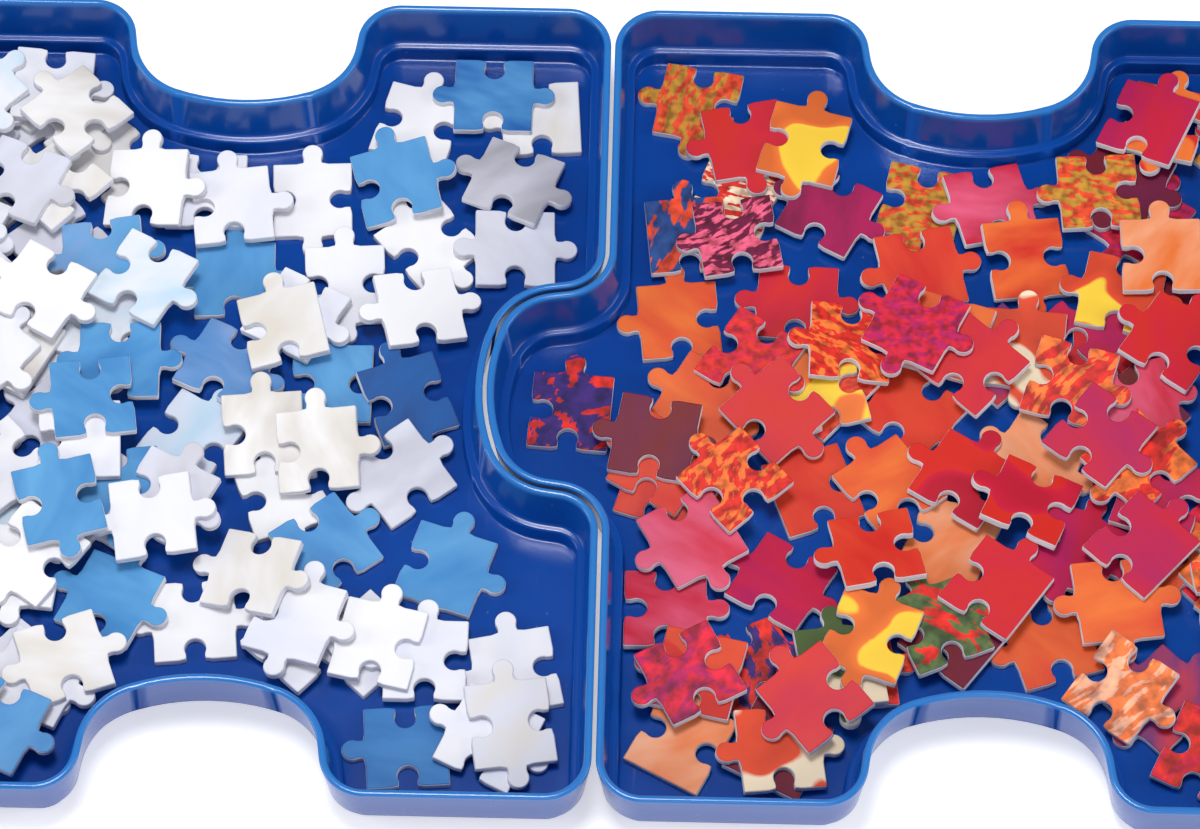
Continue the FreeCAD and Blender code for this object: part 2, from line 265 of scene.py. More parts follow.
# %% Tray plastic
def tray_plastic():
    """Glossy blue that drifts a little, with painted light: lighter on the walls and a painted highlight
    along the rim; it wavers by a bump.
    """
    material, tree, shader = new_material("tray_plastic")
    place = add_node(tree, "TexCoord").outputs["Object"]
    marks = add_marks(tree, place, 1.0, 0.18, 0.06, 0.2)
    drift = add_noise(tree, place, 9.0, 2.0)
    blue = add_ramp(tree, drift, [(0.35, (0.0012, 0.048, 0.300)), (0.65, (0.0016, 0.062, 0.360))])
    height = add_node(tree, "SeparateXYZ", {"Vector": place}).outputs["Z"]
    # Painted light: from 3 mm up the base colour turns lighter, so the walls look lit and the floor between
    # them looks shaded.
    blue = mix_colours(tree, add_share(tree, height, 0.003, 0.016), blue, (0.003, 0.066, 0.340))
    # Painted highlight: the top of the rim is mixed towards a light blue, so a light line runs along it.
    glow = add_math(tree, "MULTIPLY", add_share(tree, height, 0.0182, 0.0199), 0.8)
    blue = mix_colours(tree, glow, blue, (0.032, 0.215, 0.620))
    dusty = add_math(tree, "MULTIPLY", marks["Dust"], 0.25)
    set_inputs(tree, shader, {
        "Base Color": mix_colours(tree, dusty, blue, (0.25, 0.36, 0.55)), "Roughness": marks["Roughness"],
        "Normal": add_bump(tree, marks["Height"], 0.2, 0.0006), "IOR": 1.5})
    return material


TRAY_PLASTIC = tray_plastic()

# %% [markdown]
# ## Tray outline
# The edge of a tray is a run of arcs: four corners and five arcs in each link. Moving the edge in
# by a distance only changes each arc's radius, so one set of arcs serves the rim, the step, the foot
# and the floor, and the wall keeps its width all the way round.


# %% Tray outline
def link_arcs(kind):
    """Arcs (centre x, centre y, radius, first, last, bulge) of a link on a side that runs towards -x."""
    flank = math.radians(LINK_FLANK_ANGLE)
    tip_y = LINK_TIP_RADIUS - LINK_DEPTH
    shoulder_y = tip_y - math.sqrt((LINK_TIP_RADIUS - LINK_SHOULDER_RADIUS) ** 2 - LINK_SHOULDER_X ** 2)
    run = LINK_SHOULDER_RADIUS + LINK_MOUTH_RADIUS
    mouth_x = LINK_SHOULDER_X + (run + (-LINK_MOUTH_RADIUS - shoulder_y) * math.cos(flank)) / math.sin(flank)
    tip = math.degrees(math.atan2(shoulder_y - tip_y, LINK_SHOULDER_X))
    lean = LINK_FLANK_ANGLE - 90.0
    arcs = np.array([
        (mouth_x, -LINK_MOUTH_RADIUS, LINK_MOUTH_RADIUS, 90.0, 180.0 + lean, 1),
        (LINK_SHOULDER_X, shoulder_y, LINK_SHOULDER_RADIUS, lean, tip, -1),
        (0.0, tip_y, LINK_TIP_RADIUS, tip, -180.0 - tip, -1),
        (-LINK_SHOULDER_X, shoulder_y, LINK_SHOULDER_RADIUS, -180.0 - tip, -180.0 - lean, -1),
        (-mouth_x, -LINK_MOUTH_RADIUS, LINK_MOUTH_RADIUS, -lean, 90.0, 1)])
    return arcs if kind == "socket" else arcs * [1, -1, 1, -1, -1, -1]


EDGE_STEP = 4.0            # most degrees between two points on an arc


def edge_table():
    """Centre, radius, bulge and direction of every point on the edge, counter-clockwise, as arrays."""
    rows = []
    for turn, kind in ((-90, "socket"), (0, "socket"), (90, "tab"), (180, "socket")):
        along, out = (PITCH_X / 2, PITCH_Y / 2) if turn % 180 == 0 else (PITCH_Y / 2, PITCH_X / 2)
        corner = (CORNER_RADIUS - along, out - CORNER_RADIUS, CORNER_RADIUS, 90.0, 180.0, 1)
        side = np.vstack([link_arcs(kind) + [0, out, 0, 0, 0, 0], corner])
        cosine, sine = math.cos(math.radians(turn)), math.sin(math.radians(turn))
        for x, y, radius, first, last, bulge in side:
            angles = np.radians(np.linspace(first, last, 2 + int(abs(last - first) / EDGE_STEP)) + turn)
            arc = [cosine * x - sine * y, sine * x + cosine * y, radius, bulge]
            rows.append(np.column_stack([np.tile(arc, (len(angles), 1)), np.cos(angles), np.sin(angles)]))
    return np.vstack(rows)


def edge_points(table, inset):
    """Edge moved in by each inset: centre + (radius - bulge * inset) * direction, (insets, points, 2)."""
    size = table[:, 2] - table[:, 3] * np.reshape(inset, (-1, 1))
    return table[:, :2] + size[..., None] * table[:, 4:6]


EDGE = edge_table()
print("edge points", len(EDGE))

# %% [markdown]
# ## Tray shell
# The wall's section has straight stretches with small rounded corners, as a mould leaves them: a
# round rim, a soft step and a fillet into the floor. It is carried round the outline as one grid,
# and flat faces close the floor and the underside.


# %% Tray shell
FLOOR_REACH, UNDERSIDE_REACH = 3.5, 2.0            # how far the section runs in past the wall
SECTION_RADII = [0.55, 0.7, 0.8, 0.9, 0.9, 0.5, 0.4, 0.6]      # from the floor to the underside


def rounded(corners, radii, steps=5):
    """Section with each corner replaced by a quadratic curve that starts and ends its radius away."""
    corners, radii = np.asarray(corners), np.asarray(radii)[:, None]
    back, ahead = corners[:-2] - corners[1:-1], corners[2:] - corners[1:-1]
    start = corners[1:-1] + back / np.linalg.norm(back, axis=1, keepdims=True) * radii
    stop = corners[1:-1] + ahead / np.linalg.norm(ahead, axis=1, keepdims=True) * radii
    t = np.linspace(0, 1, steps)[None, :, None]
    curve = start[:, None] * (1 - t) ** 2 + 2 * corners[1:-1][:, None] * t * (1 - t) + stop[:, None] * t ** 2
    return np.vstack([corners[:1], curve.reshape(-1, 2), corners[-1:]])


def wall_section():
    """Wall's section as (inset from the rim, height), from the floor over the rim to the underside."""
    wall_lean, foot_lean = math.tan(math.radians(WALL_DRAFT)), math.tan(math.radians(FOOT_DRAFT))
    step_under = STEP_HEIGHT - WALL
    step_start = WALL + (TRAY_HEIGHT - STEP_HEIGHT) * wall_lean
    step_end = step_start + STEP_WIDTH
    foot_top = step_end - WALL
    foot = foot_top + step_under * foot_lean
    corners = [(step_end + FLOOR_REACH, FLOOR), (step_end + (STEP_HEIGHT - FLOOR) * foot_lean, FLOOR),
               (step_end, STEP_HEIGHT), (step_start, STEP_HEIGHT), (WALL, TRAY_HEIGHT), (0.0, TRAY_HEIGHT),
               ((TRAY_HEIGHT - step_under) * wall_lean, step_under), (foot_top, step_under), (foot, 0.0),
               (foot + UNDERSIDE_REACH, 0.0)]
    return rounded(corners, SECTION_RADII)


def tray_shell(name, middle_x):
    """Tray: the rounded section carried round the edge, with flat faces for floor and underside."""
    section = wall_section()
    plan = edge_points(EDGE, LINK_GAP / 2 + section[:, 0]) + [middle_x, 0]
    height = np.broadcast_to(section[:, 1][:, None, None], (*plan.shape[:2], 1))
    rings, count = plan.shape[:2]
    points = np.concatenate([plan, height], axis=2).reshape(-1, 3)
    faces = [face[::-1] for face in strip_faces(rings, count)]
    faces += [list(range(count)), list(range((rings - 1) * count, rings * count))[::-1]]
    tray = add_mesh(name, points, faces, [TRAY_PLASTIC])
    print(name, "faces", len(faces))
    return tray


for side, name in ((-1, "left_tray"), (1, "right_tray")):
    shell = tray_shell(name + "_shell", side * PITCH_X / 2)
    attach(shell, name)
    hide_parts(name)

# %% [markdown]
# ## Printed card
# A jigsaw piece is grey board with printed paper on its face, cut by a steel rule. The face takes two
# inks that are stored on the piece and mixed by a brush-like pattern. The cut rounds the face's edge
# a little and shows pale board below it. Four patterns cover the pieces: soft washes, speckles like
# scattered blossom, thin strokes like stems, and large petals with clean edges.


# %% Print pattern groups
def brush_wash():
    """Group: stretched noise, bent by a second noise, gives soft strokes as a factor."""
    tree, given, group_out = new_group("brush_wash", {"Scale": 34.0, "Bend": 0.012}, ("Factor",))
    warp = add_node(tree, "TexNoise", {"Vector": given["Vector"], "Scale": 30.0, "Detail": 1.0})
    centred = add_node(tree, "VectorMath", {0: warp.outputs["Color"], 1: (0.5, 0.5, 0.5)},
                       operation="SUBTRACT").outputs[0]
    bent = add_node(tree, "VectorMath", {0: centred, "Scale": given["Bend"]}, operation="SCALE").outputs[0]
    moved = add_node(tree, "VectorMath", {0: given["Vector"], 1: bent}, operation="ADD").outputs[0]
    stretched = add_node(tree, "Mapping", {"Vector": moved, "Scale": (1.0, 2.6, 1.0)}).outputs[0]
    set_inputs(tree, group_out, {"Factor": add_noise(tree, stretched, given["Scale"], 3.0)})
    return tree


WASH = brush_wash()
PRINT_ORDER = ["wash", "speckle", "stroke", "petal"]


def printed_card(pattern):
    """Card face: inks A and B from the piece's attributes, mixed by a pattern in the print's UV map."""
    material, tree, shader = new_material("printed_card_" + pattern)
    sheet = add_node(tree, "UVMap", uv_map="print").outputs["UV"]
    place = add_node(tree, "TexCoord").outputs["Object"]
    inks = [add_node(tree, "Attribute", attribute_name=name).outputs["Color"] for name in ("ink_a", "ink_b")]

    def brushed(**values):
        return add_node(tree, "Group", {"Vector": sheet, **values}, node_tree=WASH).outputs["Factor"]

    if pattern == "wash":
        tone = brushed()
        share = add_share(tree, tone, 0.34, 0.70)
        stops = [(0.3, (0.93, 0.93, 0.95)), (0.7, (1.0, 1.0, 1.0))]
    elif pattern == "speckle":
        tone = add_noise(tree, sheet, 380.0, 1.0)
        share = add_share(tree, brushed(Scale=210.0, Bend=0.02), 0.49, 0.54)
        stops = [(0.34, (0.60, 0.48, 0.45)), (0.5, (1.0, 0.95, 0.95)), (0.66, (1.25, 1.2, 1.15))]
    elif pattern == "stroke":
        tone = add_noise(tree, sheet, 230.0, 2.0)
        share = add_share(tree, brushed(Scale=120.0, Bend=0.03), 0.515, 0.545)
        stops = [(0.35, (0.5, 0.45, 0.55)), (0.5, (0.95, 0.9, 0.95)), (0.68, (1.5, 1.3, 1.2))]
    else:
        tone = add_noise(tree, sheet, 62.0, 0.0, 0.6)
        share = add_share(tree, tone, 0.50, 0.535)
        stops = [(0.36, (0.80, 0.72, 0.70)), (0.5, (1.0, 1.0, 1.0)), (0.7, (0.96, 0.92, 0.9))]
    ink = mix_colours(tree, share, *inks)
    marks = add_marks(tree, place, 2.0, 0.48, 0.12, 0.15)
    linen = add_noise(tree, place, 900.0, 2.0)
    set_inputs(tree, shader, {
        "Base Color": mix_colours(tree, 1.0, ink, add_ramp(tree, tone, stops), "MULTIPLY"),
        "Roughness": marks["Roughness"], "Normal": add_bump(tree, linen, 0.10, 0.0002),
        "Specular IOR Level": 0.3})
    return material


PRINTS = [printed_card(pattern) for pattern in PRINT_ORDER]


# %% Cut board
def cut_board():
    """Side and back of a piece: grey-white board with fibre layers that run along the cut."""
    material, tree, shader = new_material("cut_board")
    place = add_node(tree, "TexCoord").outputs["Object"]
    layers = add_node(tree, "Mapping", {"Vector": place, "Scale": (120, 120, 2600)}).outputs[0]
    fibre = add_noise(tree, layers, 1.0, 4.0)
    board = add_ramp(tree, fibre, [(0.3, srgb(188, 190, 204)), (0.7, srgb(236, 236, 242))])
    set_inputs(tree, shader, {"Base Color": board, "Normal": add_bump(tree, fibre, 0.4, 0.0002),
                              "Roughness": 0.85})
    return material


CUT_BOARD = cut_board()

# %% [markdown]
# ## Inks
# The left tray holds the sky of the picture, in whites, greys and blues, and the right tray its
# flowers, in reds, oranges and purples.

# %% Inks
INKS = {
    "white": srgb(246, 246, 250), "lilac_white": srgb(226, 229, 244), "light_grey": srgb(204, 204, 216),
    "grey": srgb(160, 158, 170), "beige": srgb(222, 216, 208), "sky": srgb(96, 166, 220),
    "mid_sky": srgb(62, 136, 202), "pale_sky": srgb(190, 218, 240), "lilac_sky": srgb(132, 164, 216),
    "deep_sky": srgb(20, 98, 176), "slate": srgb(34, 74, 140),
    "red": srgb(214, 40, 30), "crimson": srgb(205, 24, 58), "orange_red": srgb(226, 74, 40),
    "orange": srgb(238, 118, 48), "peach": srgb(244, 178, 140), "yellow": srgb(246, 206, 60),
    "magenta": srgb(176, 18, 88), "plum": srgb(108, 14, 62), "ochre": srgb(190, 140, 48),
    "pink": srgb(232, 96, 132), "cream": srgb(244, 226, 196), "indigo": srgb(58, 34, 120),
    "leaf": srgb(84, 110, 62), "maroon": srgb(120, 16, 24),
}
print("inks", len(INKS))

# %% [markdown]
# ## Jigsaw outline
# Each side of a piece is straight with a round knob or a matching socket at its middle, or flat on
# the puzzle's border. The mesh takes more points round each head than the solid does, and corner
# cutting rounds the bends as a cutting rule does. Points close to the piece's corners keep those crisp.


# %% Jigsaw outline
def side_points(length, kind, steps, trim):
    """Side along +x from (0, 0): a head of KNOB_SWEEP degrees each way on a neck, to -y or +y."""
    ends = ([(0.0, 0.0), (trim, 0.0)], [(length - trim, 0.0)]) if trim else ([(0.0, 0.0)], np.empty((0, 2)))
    if kind == "f":
        return np.vstack(ends)
    angle = np.radians(KNOB_SWEEP * (2 * np.arange(steps + 1) / steps - 1))
    out = -1 if kind == "k" else 1
    head = np.stack([length / 2 + KNOB_RADIUS * np.sin(angle),
                     out * (KNOB_CENTRE + KNOB_RADIUS * np.cos(angle))], 1)
    return np.vstack([ends[0], (length / 2 - NECK_HALF, 0.0), head, (length / 2 + NECK_HALF, 0.0), ends[1]])


@functools.cache
def piece_outline(kinds, steps=KNOB_STEPS, trim=0.0):
    """Outline round the piece's middle, counter-clockwise, from its sides east, north, west and south."""
    east, north, west, south = kinds
    sides = []
    for cosine, sine, kind in ((1, 0, south), (0, 1, east), (-1, 0, north), (0, -1, west)):
        length, across = (PIECE_WIDTH, PIECE_DEPTH) if sine == 0 else (PIECE_DEPTH, PIECE_WIDTH)
        local = side_points(length, kind, steps, trim) - [length / 2, across / 2]
        sides.append(local @ np.array([[cosine, sine], [-sine, cosine]]))
    return np.vstack(sides)


def cut_corners(loop, share=0.25):
    """Closed loop with each corner cut at a share of both its edges."""
    ahead = np.roll(loop, -1, axis=0)
    cuts = [loop * (1 - share) + ahead * share, loop * share + ahead * (1 - share)]
    return np.stack(cuts, 1).reshape(-1, 2)


# %% [markdown]
# ## Lying at rest
# A loose piece lies on the floor and on what is under it. Its lower face is the lowest plane over its
# middle that passes under no support, so three supports carry it and it tips as a real one does. The
# pieces that the solids hold are laid first, by the rule that settled the solids.


# %% Settling
SLACK = 1e-4               # how far a support may reach past a plane that rests on it
LEAST_AREA = 1e-3          # three supports closer to one line than this carry nothing


def inside(points, loop):
    """True for each point inside a closed loop: it lies left of an odd number of the loop's edges."""
    a, b = loop, np.roll(loop, -1, axis=0)
    x, y = points[:, :1], points[:, 1:]
    rise = np.where(b[:, 1] == a[:, 1], 1.0, b[:, 1] - a[:, 1])
    cross = ((a[:, 1] > y) != (b[:, 1] > y)) & (x < a[:, 0] + (y - a[:, 1]) * (b[:, 0] - a[:, 0]) / rise)
    return cross.sum(axis=1) % 2 == 1


def crossings(loop, other):
    """Points where two closed loops cross, from every pair of their edges."""
    a, u = loop[:, None], (np.roll(loop, -1, axis=0) - loop)[:, None]
    c, v = other[None], (np.roll(other, -1, axis=0) - other)[None]
    area = u[..., 0] * v[..., 1] - u[..., 1] * v[..., 0]
    parallel = abs(area) < 1e-9
    area = np.where(parallel, 1.0, area)
    gap = c - a
    share = (gap[..., 0] * v[..., 1] - gap[..., 1] * v[..., 0]) / area
    other_share = (gap[..., 0] * u[..., 1] - gap[..., 1] * u[..., 0]) / area
    hit = (share >= 0) & (share <= 1) & (other_share >= 0) & (other_share <= 1) & ~parallel
    return (a + u * share[..., None])[hit]


def rest_plane(places, heights, middle, spin):
    """(height, slope x, slope y) of the lowest plane over the middle that passes under no support."""
    offsets = places - middle
    quarter = (offsets @ spin.T > 0) @ [2, 1]
    far = np.linalg.norm(offsets, axis=1)
    near = [int(np.argmax(np.where(quarter == q, far, -1))) for q in range(4)]
    while True:
        index = np.array(near)
        threes = index[[(i, j, k) for i in range(len(near)) for j in range(i) for k in range(j)]]
        rows = np.concatenate([np.ones((*threes.shape, 1)), offsets[threes]], axis=2)
        wide = abs(np.linalg.det(rows)) > LEAST_AREA
        rows, tops = rows[wide], heights[threes][wide]
        planes = np.linalg.solve(rows, tops[..., None])[..., 0]
        middles = np.tile([[1.0], [0.0], [0.0]], (len(rows), 1, 1))
        shares = np.linalg.solve(np.swapaxes(rows, 1, 2), middles)[..., 0]
        under = planes[:, :1] + planes[:, 1:] @ offsets[index].T - heights[index]
        good = (shares.min(axis=1) > -SLACK) & (under.min(axis=1) > -SLACK)
        best = planes[good][np.argmin(planes[good][:, 0])]
        short = heights - best[0] - offsets @ best[1:]
        worst = int(np.argmax(short))
        if short[worst] <= SLACK:
            return best
        near.append(worst)


FLOOR_MARGIN = 1.85        # from the end of the floor's fillet to where pieces may lie
OUTLINE_REACH, BODY_REACH = 36, 32       # pieces further apart than this along x or y don't meet
NUDGES = 20                # most steps of a millimetre that a piece moves away from a wall
BODY_GRID = np.stack(np.meshgrid(np.linspace(-9.5, 9.5, 7), np.linspace(-10, 10, 7)), -1).reshape(-1, 2)


def floor_of(middle_x):
    """Closed loop of the floor of a tray, kept a little off the foot of the wall."""
    inset = LINK_GAP / 2 + wall_section()[1, 0] + FLOOR_MARGIN
    return edge_points(EDGE, inset)[0][::2] + [middle_x, 0]


def spin_matrix(turn):
    """Matrix that turns points, as rows, by an angle in radians counter-clockwise."""
    return np.array([[math.cos(turn), math.sin(turn)], [-math.sin(turn), math.cos(turn)]])


class Heap:
    """The pieces that lie in one tray, each with its outline, the plane of its face and its layer."""

    def __init__(self, floor):
        self.floor, self.laid = floor, []

    def under(self, loop):
        """Laid pieces that a loop overlaps in plan, with the points where they meet."""
        found = []
        for piece in self.laid:
            if np.any(abs(piece["middle"] - loop.mean(axis=0)) > OUTLINE_REACH):
                continue
            meet = np.vstack([loop[inside(loop, piece["loop"])], piece["loop"][inside(piece["loop"], loop)],
                              crossings(loop, piece["loop"])])
            if len(meet):
                found.append((piece, meet))
        return found

    def nudge_in(self, loop, middle):
        """Move a loop towards its middle's side until it is inside the floor."""
        shift = np.zeros(2)
        for _ in range(NUDGES):
            out = ~inside(loop + shift, self.floor)
            if not out.any():
                return shift
            push = middle - loop[out].mean(axis=0)
            shift = shift + push / max(np.linalg.norm(push), 1e-6)
        return None

    def hides(self, loop, middle):
        """Largest share that a loop would hide of a piece, times how much that piece is meant to show."""
        near = [piece for piece in self.laid
                if piece["shown"] and np.all(abs(piece["middle"] - middle) < BODY_REACH)]
        return max((piece["shown"] * inside(BODY_GRID @ piece["spin"] + piece["middle"], loop).mean()
                    for piece in near), default=0.0)

    def place(self, x, y, turn, kinds, fixed=False):
        """Outline, middle and spin of a piece, moved clear of the walls. No outline means no room."""
        spin = spin_matrix(math.radians(turn))
        middle = np.array([x, y], dtype=float)
        loop = piece_outline(kinds) @ spin + middle
        shift = np.zeros(2) if fixed else self.nudge_in(loop, middle)
        return (None, middle, spin) if shift is None else (loop + shift, middle + shift, spin)

    def lay(self, x, y, turn, kinds, fixed=False, shown=0.0, hide=1.0, height=math.inf, **looks):
        """Lay one piece and give its record, or None where it can't go inside the walls.

        A piece that hides more than the share hide of a piece that is meant to show, or that would
        rise above the height, isn't laid.
        """
        loop, middle, spin = self.place(x, y, turn, kinds, fixed)
        if loop is None or (hide < 1.0 and self.hides(loop, middle) > hide):
            return None
        met = self.under(loop)
        places = np.vstack([loop] + [meet for _, meet in met])
        heights = np.concatenate([np.full(len(loop), FLOOR)] + [
            piece["top"][0] + (meet - piece["middle"]) @ piece["top"][1:] for piece, meet in met])
        plane = rest_plane(places, heights, middle, spin)
        rise = PIECE_THICKNESS * math.sqrt(1 + plane[1] ** 2 + plane[2] ** 2)
        if plane[0] + np.max((loop - middle) @ plane[1:]) + rise > height:
            return None
        upper = any(piece["upper"] for piece, _ in met)
        record = dict(looks, loop=loop, middle=middle, spin=spin, kinds=kinds, shown=shown,
                      base=plane[0] + REST_GAP, slope=plane[1:],
                      top=np.array([plane[0] + REST_GAP + rise, *plane[1:]]), upper=upper)
        self.laid.append(record)
        return record


# %% [markdown]
# ## The pieces that the solids hold
# Forty-three pieces are solids in the frame. They are laid first in each tray, the lower ones before
# the upper ones, with the same turns and sides. Where a solid was moved clear of a wall, its box in
# the frame tells how far, and the card goes with it.

# %% Pieces with solids
# node, x, y, turn, sides, ink A, ink B, print unless it is a wash
LEFT_SOLIDS = [
    ("white_piece_1", -50.5, 86.0, -15.0, "sksk", "white", "white"),
    ("white_piece_2", -18.5, 88.5, 4.0, "fsks", "white", "beige"),
    ("white_piece_3", -46.0, 50.5, 40.0, "sksk", "white", "white"),
    ("white_piece_4", -20.0, -71.0, 12.0, "skks", "white", "lilac_white"),
    ("white_piece_5", -77.0, 65.0, 3.0, "sksk", "white", "white"),
    ("white_piece_6", -67.0, 37.0, 4.0, "sksk", "white", "lilac_white"),
    ("white_piece_7", -100.0, -59.0, 6.0, "ksks", "white", "white"),
    ("white_piece_8", -80.0, -23.0, 20.0, "sksk", "white", "white"),
    ("white_piece_9", -104.0, -8.0, -32.0, "sksk", "lilac_white", "pale_sky"),
    ("pale_grey_piece_1", -24.0, 48.5, 2.0, "ksks", "lilac_white", "light_grey"),
    ("pale_grey_piece_2", -25.0, 67.5, -20.0, "ksks", "light_grey", "grey"),
    ("sky_blue_piece_1", -31.0, 94.0, 0.0, "ksks", "deep_sky", "sky"),
    ("sky_blue_piece_2", -55.0, 66.5, 14.0, "kkss", "sky", "mid_sky"),
    ("sky_blue_piece_3", -95.5, 38.5, 2.0, "kkks", "sky", "mid_sky"),
    ("sky_blue_piece_4", -68.5, -38.0, 38.0, "ksks", "mid_sky", "sky"),
    ("sky_blue_piece_5", -46.0, -92.0, 5.0, "ksks", "mid_sky", "deep_sky"),
    ("sky_blue_piece_6", -69.0, 8.0, 0.0, "sksk", "mid_sky", "sky"),
    ("sky_blue_piece_7", -96.0, 13.0, -24.0, "ksks", "mid_sky", "lilac_sky"),
    ("sky_blue_piece_8", -45.5, 2.0, 22.0, "sksk", "deep_sky", "slate"),
    ("sky_blue_piece_9", -38.5, -43.0, -18.0, "kksk", "sky", "mid_sky"),
    ("sky_blue_piece_10", -121.0, -54.0, -24.0, "kkks", "mid_sky", "sky"),
]
RIGHT_SOLIDS = [
    ("speckled_piece_1", -8.5, 2.0, -4.0, "fkss", "indigo", "red", "stroke"),
    ("speckled_piece_2", 80.5, 65.0, -12.0, "kssk", "ochre", "orange_red", "speckle"),
    ("speckled_piece_3", 38.5, -68.0, 24.0, "ksks", "red", "indigo", "stroke"),
    ("speckled_piece_4", 17.0, 96.0, -10.0, "sskk", "orange_red", "ochre", "speckle"),
    ("speckled_piece_5", 32.0, 65.0, -20.0, "sksk", "red", "cream", "speckle"),
    ("orange_piece_1", 18.5, 29.0, 6.0, "skks", "orange_red", "orange"),
    ("orange_piece_2", 87.0, -33.0, -22.0, "fksk", "orange", "peach"),
    ("orange_piece_3", 21.0, -89.0, -28.0, "sksf", "orange", "peach"),
    ("orange_piece_4", 25.0, 5.0, -30.0, "kskk", "orange_red", "orange"),
    ("orange_piece_5", 109.0, -9.0, -30.0, "ksks", "peach", "orange"),
    ("orange_piece_6", 112.0, -60.0, 18.0, "ksks", "orange_red", "orange"),
    ("magenta_piece_1", 56.5, 61.5, -28.0, "ksks", "magenta", "plum"),
    ("magenta_piece_2", 45.0, -45.5, -30.0, "ksks", "magenta", "crimson"),
    ("magenta_piece_3", 118.0, -35.0, -24.0, "kksk", "crimson", "magenta"),
    ("red_piece_1", 48.5, 35.0, -3.0, "ksks", "crimson", "red"),
    ("red_piece_2", 53.0, -19.0, 20.0, "skfs", "red", "orange_red"),
    ("red_piece_3", 80.0, 44.5, 14.0, "kskk", "red", "orange_red"),
    ("red_piece_4", 35.0, 82.0, 12.0, "kskk", "red", "crimson"),
    ("red_piece_5", 99.0, 66.0, 16.0, "ksks", "crimson", "pink"),
    ("red_piece_6", 107.0, 48.0, 10.0, "sksk", "red", "orange"),
    ("red_piece_7", 78.0, 4.0, -40.0, "ksks", "orange_red", "red"),
    ("red_piece_8", 16.5, -53.5, 0.0, "ksss", "crimson", "pink"),
]

TILT_SHIFT = 0.5           # a tilt alone moves the middle of a solid's box by less than this


def moved_off_wall(node, loop):
    """How far a solid was moved clear of a wall: middle of its box minus middle of its outline's box."""
    low, high = (np.array(corner)[:2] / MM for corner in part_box(node))
    shift = (low + high - loop.min(axis=0) - loop.max(axis=0)) / 2 - [SHIFT_X, 0]
    return shift if np.linalg.norm(shift) > TILT_SHIFT else np.zeros(2)


TRAY_MIDDLE = {"left": -PITCH_X / 2, "right": PITCH_X / 2}
UPPER_SHOWN, LOWER_SHOWN, TOP_SHOWN = 1.6, 1.0, 0.6            # how much the pieces are meant to show
heaps = {side: Heap(floor_of(middle_x)) for side, middle_x in TRAY_MIDDLE.items()}
for side, solids in (("left", LEFT_SOLIDS), ("right", RIGHT_SOLIDS)):
    for node, x, y, turn, kinds, ink_a, ink_b, *printed in solids:
        heap, upper = heaps[side], node.startswith(("sky_blue", "red"))
        x, y = [x, y] + moved_off_wall(node, heap.place(x, y, turn, kinds, fixed=True)[0])
        laid = heap.lay(x, y, turn, kinds, fixed=True, shown=UPPER_SHOWN if upper else LOWER_SHOWN,
                        node=node, ink_a=ink_a, ink_b=ink_b, pattern=(*printed, "wash")[0])
        laid["upper"] = upper

# %% [markdown]
# ## The rest of the loose pieces
# Plain pieces fill the floor that is still bare, then come more pieces that show on top, each where
# it lies in the heap, and then plain pieces again over the gaps. The places of the plain pieces are
# drawn by chance from a fixed seed. One is kept where it hides little of the pieces that are meant
# to show and doesn't rise too high, so the heap stays below the rims.

# %% Filling pieces
SIDE_CHOICES = ["ksks", "sksk", "kkss", "skks", "ksss", "skkk", "kskk", "kkks", "ssks", "ksfs", "fkss"]
LEFT_FILL = [("white", "white"), ("white", "lilac_white"), ("white", "white"), ("lilac_white", "light_grey"),
             ("white", "beige"), ("lilac_white", "white"), ("white", "lilac_white"), ("beige", "white"),
             ("white", "pale_sky"), ("mid_sky", "sky")]
RIGHT_FILL = [("red", "crimson"), ("crimson", "magenta"), ("orange_red", "orange"), ("plum", "maroon"),
              ("red", "orange_red"), ("maroon", "plum"), ("orange", "yellow"), ("indigo", "red"),
              ("crimson", "red")]
RIGHT_OVER = [("red", "crimson"), ("crimson", "magenta"), ("orange_red", "orange"), ("red", "orange_red"),
              ("crimson", "red"), ("red", "orange"), ("orange", "peach")]
RIGHT_PRINTS = ["wash"] * 6 + ["petal", "speckle", "stroke"]
# Floor that shows: (low x, high x, low y, high y) from the joint.
OPEN_FLOOR = [(-34, -4, -62, -28), (-190, 0, 99, 113), (-190, 190, -113, -101), (4, 9, 36, 80),
              (0, 190, 98, 113), (-66, -57, 78, 100)]
GRID_SPACING = 4.6         # of the points that tell which floor is bare
SHAKE, MOST_TURN, TURN_TRIES = 4, 48, 6


def bare_floor(heap, middle_x):
    """Points on a grid over a tray's floor, kept where no piece lies and where the floor needn't show."""
    across = np.arange(middle_x - 125, middle_x + 105, GRID_SPACING)
    points = np.stack(np.meshgrid(across, np.arange(-105, 106, GRID_SPACING)), -1).reshape(-1, 2)
    points = points[inside(points, heap.floor)]
    area = len(points)
    for low_x, high_x, low_y, high_y in OPEN_FLOOR:
        x, y = points.T
        points = points[(x < low_x) | (x > high_x) | (y < low_y) | (y > high_y)]
    for piece in heap.laid:
        points = points[~inside(points, piece["loop"])]
    return points, area


